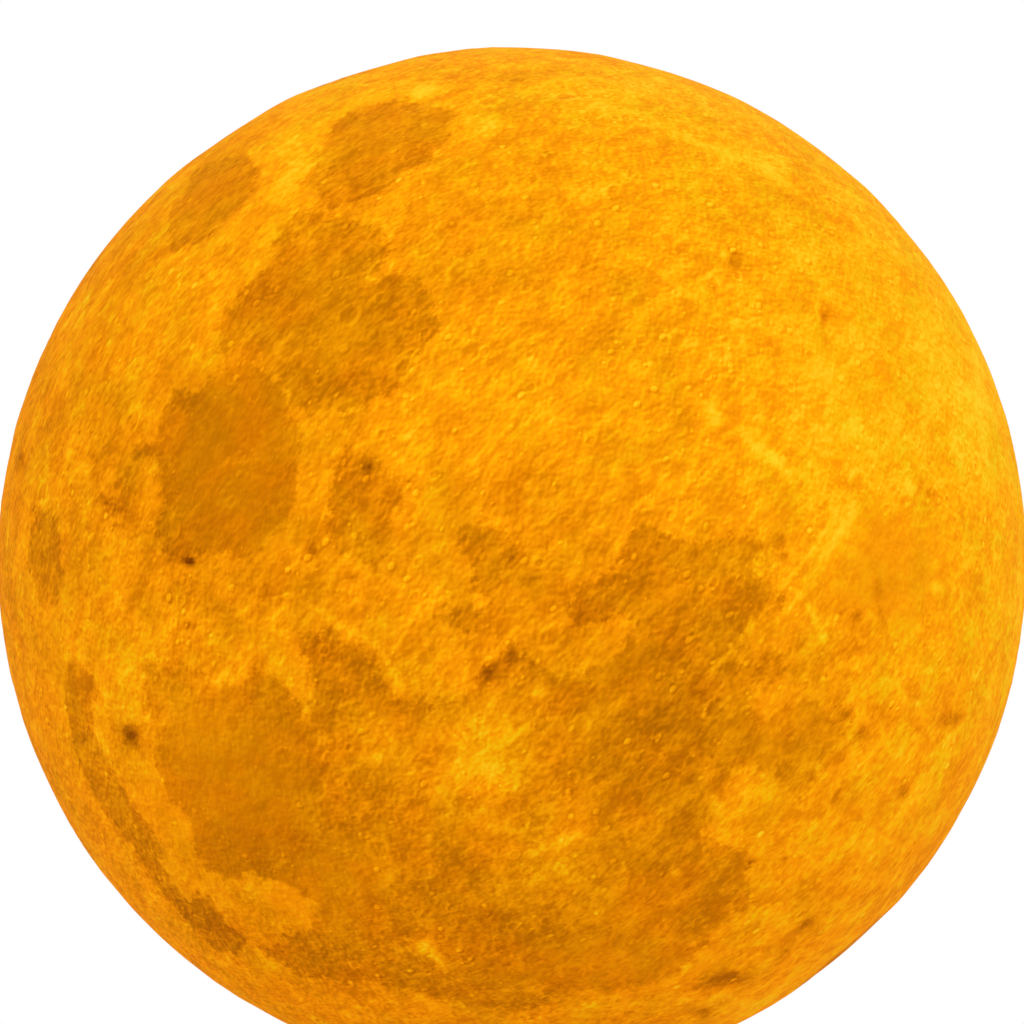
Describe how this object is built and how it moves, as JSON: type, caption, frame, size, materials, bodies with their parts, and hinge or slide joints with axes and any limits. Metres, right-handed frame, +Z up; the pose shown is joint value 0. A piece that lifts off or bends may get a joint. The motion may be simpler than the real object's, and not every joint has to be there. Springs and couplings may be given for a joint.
{
  "type": "moon lamp",
  "caption": "Round table lamp: a hollow globe with the Moon's relief that twist-locks on a low round base with light source, battery and controls.",
  "frame": {"origin": "on the table, under the middle of the foot ring", "axes": "+Z up along the lamp's axis, -Y towards the front, where the Moon's near side faces the viewer; the charging socket is at +Y"},
  "size_m": [0.15, 0.15, 0.1562],
  "materials": {
    "globe": "printed translucent shell with amber light behind it",
    "white_abs": "fine moulded texture",
    "seal": "matt",
    "chrome_ring": "bright plated",
    "spring_brass": "bright",
    "foot_silicone": "matt",
    "screw_steel": "zinc plated",
    "board_green": "solder mask",
    "board_white": "white solder mask",
    "black_epoxy": "matt",
    "ferrite": "matt",
    "capacitor_tan": "ceramic",
    "led_yellow": "silicone over phosphor",
    "clear_acrylic": "clear",
    "socket_steel": "nickel plated",
    "plug_nylon": "natural nylon",
    "cell_foil": "laminated foil",
    "foam_tape": "foam",
    "wire_red": "smooth insulation",
    "frosted_dome": "frosted",
    "black_nylon": "moulded",
    "black_abs": "moulded"
  },
  "bodies": {
    "base": {"base_housing": "white_abs", "neck_seal": "seal", "touch_ring": "chrome_ring", "touch_spring": "spring_brass", "bottom_cover": "white_abs", "foot_ring": "foot_silicone", "cover_screws": "screw_steel", "control_board": "board_green", "board_screws": "screw_steel", "control_chips": "black_epoxy", "inductor": "ferrite", "capacitors": "capacitor_tan", "status_led": "led_yellow", "light_pipe": "clear_acrylic", "usb_socket": "socket_steel", "battery_plug": "plug_nylon", "led_plug": "plug_nylon", "battery": "cell_foil", "battery_pad": "foam_tape", "battery_strap": "white_abs", "strap_screws": "screw_steel", "battery_leads": "wire_red", "led_leads": "wire_red", "led_board": "board_white", "leds": "led_yellow", "led_screws": "screw_steel", "diffuser_dome": "frosted_dome", "switch_body": "black_nylon", "tact_switch": "black_nylon"},
    "globe": {"globe_shell": "globe", "neck_ring": "white_abs"},
    "power_knob": {"switch_knob": "black_abs"},
    "mode_button": {"mode_button": "white_abs", "tact_plunger": "plug_nylon"}
  },
  "joints": [
    {"name": "globe_twist", "type": "hinge", "parent": "base", "child": "globe", "pos_m": [0, 0, 0.02], "axis": [0, 0, 1], "range_deg": [0, 30]},
    {"name": "switch_slide", "type": "slide", "parent": "base", "child": "power_knob", "axis": [-1, 0, 0], "range_m": [0, 0.0025]},
    {"name": "button_press", "type": "slide", "parent": "base", "child": "mode_button", "axis": [0, 0, 1], "range_m": [0, 0.0005], "stiffness_N_per_m": 1000}
  ]
}
